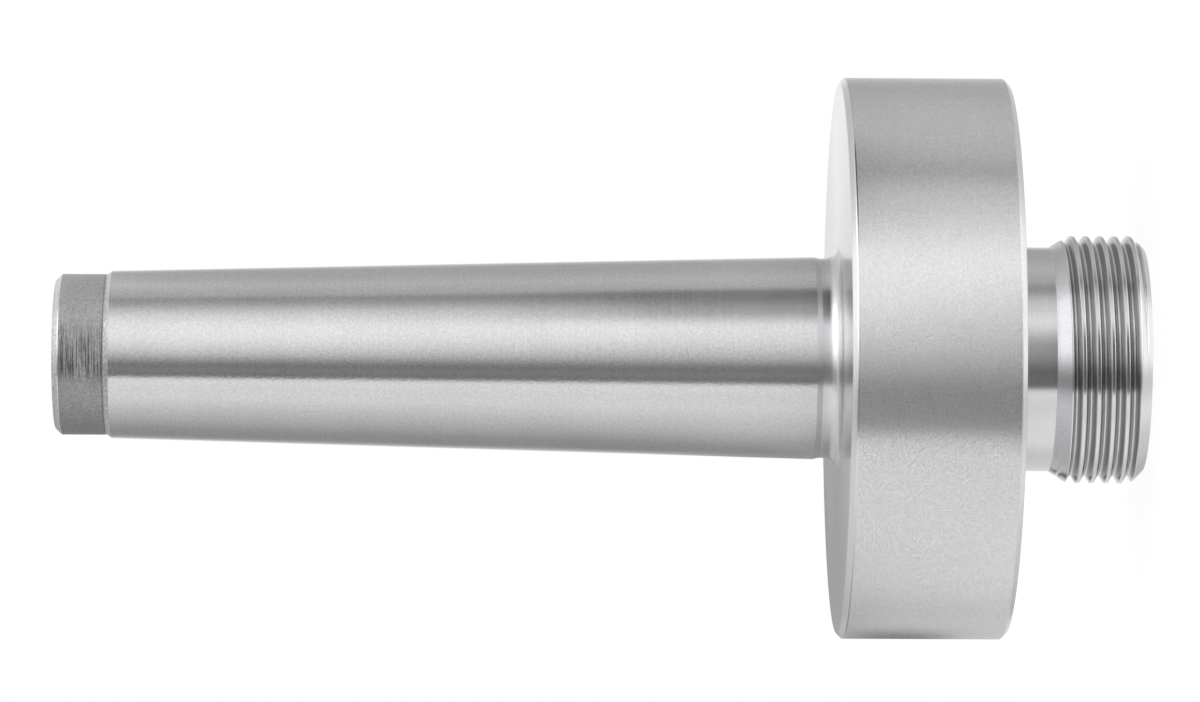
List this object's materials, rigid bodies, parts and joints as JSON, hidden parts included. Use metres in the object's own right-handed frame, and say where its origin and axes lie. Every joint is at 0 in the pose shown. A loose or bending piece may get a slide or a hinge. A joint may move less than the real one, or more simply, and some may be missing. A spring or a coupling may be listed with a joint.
{
  "type": "boring head arbor",
  "caption": "Turned and ground steel arbor with a self-holding taper shank, a drawbar hole, a round flange that seats a boring head, and a short external head thread.",
  "frame": {"origin": "centre of the head thread's end face", "axes": "+Z along the arbor's axis, from the head thread towards the end of the shank; X and Y are any two directions across it, because the part is round"},
  "size_m": [0.05, 0.05, 0.0967],
  "materials": {
    "ground_steel": "satin ground and brushed steel, with fine turning lines round the axis"
  },
  "bodies": {
    "root": {"arbor": "ground_steel"}
  },
  "joints": []
}
